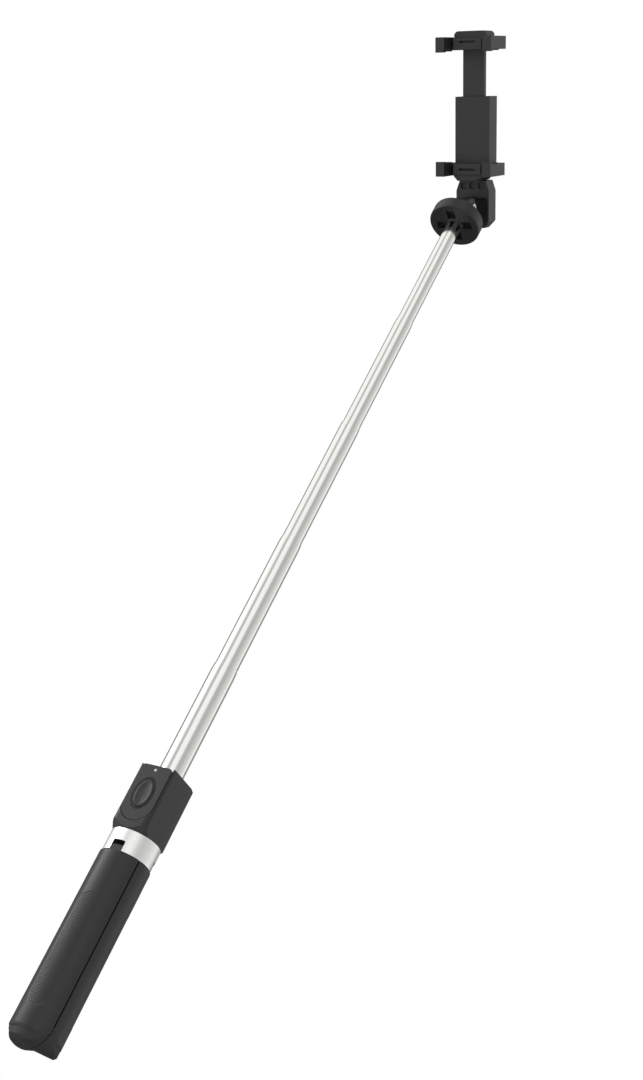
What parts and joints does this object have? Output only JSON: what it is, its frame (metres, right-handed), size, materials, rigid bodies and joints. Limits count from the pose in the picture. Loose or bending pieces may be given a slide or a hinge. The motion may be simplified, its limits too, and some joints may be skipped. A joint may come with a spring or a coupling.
{
  "type": "selfie stick",
  "caption": "Hand-held telescopic selfie stick that unfolds into a tripod stand, with a tilting spring phone clamp and a slide-out remote.",
  "frame": {"origin": "on the pole's axis, half way along the closed handle, where a hand grips it", "axes": "+Z along the pole towards the phone clamp, -Y towards the side with the remote, X along the fold hinges"},
  "size_m": [0.0414, 0.1216, 0.7187],
  "materials": {
    "satin_black": "satin moulded black plastic",
    "soft_black": "matt black rubber",
    "dark_plastic": "plain dark plastic, mostly hidden",
    "ring_metal": "bright satin metal",
    "tube_steel": "polished stainless tube",
    "screw_steel": "plain steel",
    "bush_white": "natural sliding plastic",
    "board_green": "lacquered board",
    "cell_metal": "bright cell can",
    "contact_brass": "sprung contact",
    "lens_clear": "clear light window"
  },
  "bodies": {
    "handle": {"head_shell": "satin_black", "collar_ring": "ring_metal", "leg_hub": "dark_plastic", "leg_pins": "screw_steel", "hub_screws": "screw_steel", "outer_tube": "tube_steel", "mouth_bush": "dark_plastic", "base_plug": "dark_plastic"},
    "front_leg": {"leg_front": "satin_black", "leg_cover_front": "dark_plastic", "foot_front": "soft_black"},
    "right_leg": {"leg_right": "satin_black", "leg_cover_right": "dark_plastic", "foot_right": "soft_black"},
    "left_leg": {"leg_left": "satin_black", "leg_cover_left": "dark_plastic", "foot_left": "soft_black"},
    "pole_1": {"tube_1": "tube_steel", "tube_bush_1": "bush_white"},
    "pole_2": {"tube_2": "tube_steel", "tube_bush_2": "bush_white"},
    "pole_3": {"tube_3": "tube_steel", "tube_bush_3": "bush_white"},
    "pole_4": {"tube_4": "tube_steel", "tube_bush_4": "bush_white"},
    "pole_5": {"tube_5": "tube_steel", "tube_bush_5": "bush_white", "top_cap": "satin_black", "tilt_screw": "screw_steel", "tilt_nut": "screw_steel", "friction_washers": "screw_steel"},
    "head": {"tilt_arm": "satin_black", "arm_cover": "dark_plastic", "swivel_screw": "screw_steel"},
    "clamp": {"clamp_body": "satin_black", "clamp_cover": "dark_plastic", "cover_screws": "screw_steel", "clamp_springs": "screw_steel", "spring_posts": "screw_steel", "lower_pads": "soft_black"},
    "jaw": {"upper_jaw": "satin_black", "upper_pads": "soft_black"},
    "remote": {"remote_case": "satin_black", "remote_back": "dark_plastic", "remote_board": "board_green", "remote_switch": "screw_steel", "coin_cell": "cell_metal", "cell_contact": "contact_brass", "status_lens": "lens_clear"},
    "button": {"remote_button": "satin_black"}
  },
  "joints": [
    {"name": "front_leg_fold", "type": "hinge", "parent": "handle", "child": "front_leg", "pos_m": [0, -0.0115, 0.029], "axis": [-1, 0, 0], "range_deg": [0, 65]},
    {"name": "right_leg_fold", "type": "hinge", "parent": "handle", "child": "right_leg", "pos_m": [0.00996, 0.00575, 0.029], "axis": [0.5, -0.866, 0], "range_deg": [0, 65]},
    {"name": "left_leg_fold", "type": "hinge", "parent": "handle", "child": "left_leg", "pos_m": [-0.00996, 0.00575, 0.029], "axis": [0.5, 0.866, 0], "range_deg": [0, 65]},
    {"name": "pole_1_slide", "type": "slide", "parent": "handle", "child": "pole_1", "axis": [0, 0, 1], "range_m": [-0.072, 0]},
    {"name": "pole_2_slide", "type": "slide", "parent": "pole_1", "child": "pole_2", "axis": [0, 0, 1], "range_m": [-0.0915, 0]},
    {"name": "pole_3_slide", "type": "slide", "parent": "pole_2", "child": "pole_3", "axis": [0, 0, 1], "range_m": [-0.0915, 0]},
    {"name": "pole_4_slide", "type": "slide", "parent": "pole_3", "child": "pole_4", "axis": [0, 0, 1], "range_m": [-0.0915, 0]},
    {"name": "pole_5_slide", "type": "slide", "parent": "pole_4", "child": "pole_5", "axis": [0, 0, 1], "range_m": [-0.0915, 0]},
    {"name": "head_tilt", "type": "hinge", "parent": "pole_5", "child": "head", "pos_m": [0, 0, 0.551], "axis": [1, 0, 0], "range_deg": [-54, 46]},
    {"name": "clamp_swivel", "type": "hinge", "parent": "head", "child": "clamp", "pos_m": [0, -0.00212, 0.57837], "axis": [0, -0.809, 0.5878], "continuous": true},
    {"name": "jaw_slide", "type": "slide", "parent": "clamp", "child": "jaw", "axis": [0, -0.809, 0.5878], "range_m": [-0.016, 0.012], "stiffness_N_per_m": 150, "deforming": ["clamp_springs"]},
    {"name": "remote_slide", "type": "slide", "parent": "handle", "child": "remote", "axis": [0, 0, 1], "range_m": [0, 0.036]},
    {"name": "button_press", "type": "slide", "parent": "remote", "child": "button", "axis": [0, 1, 0], "range_m": [0, 0.0005], "stiffness_N_per_m": 800}
  ]
}
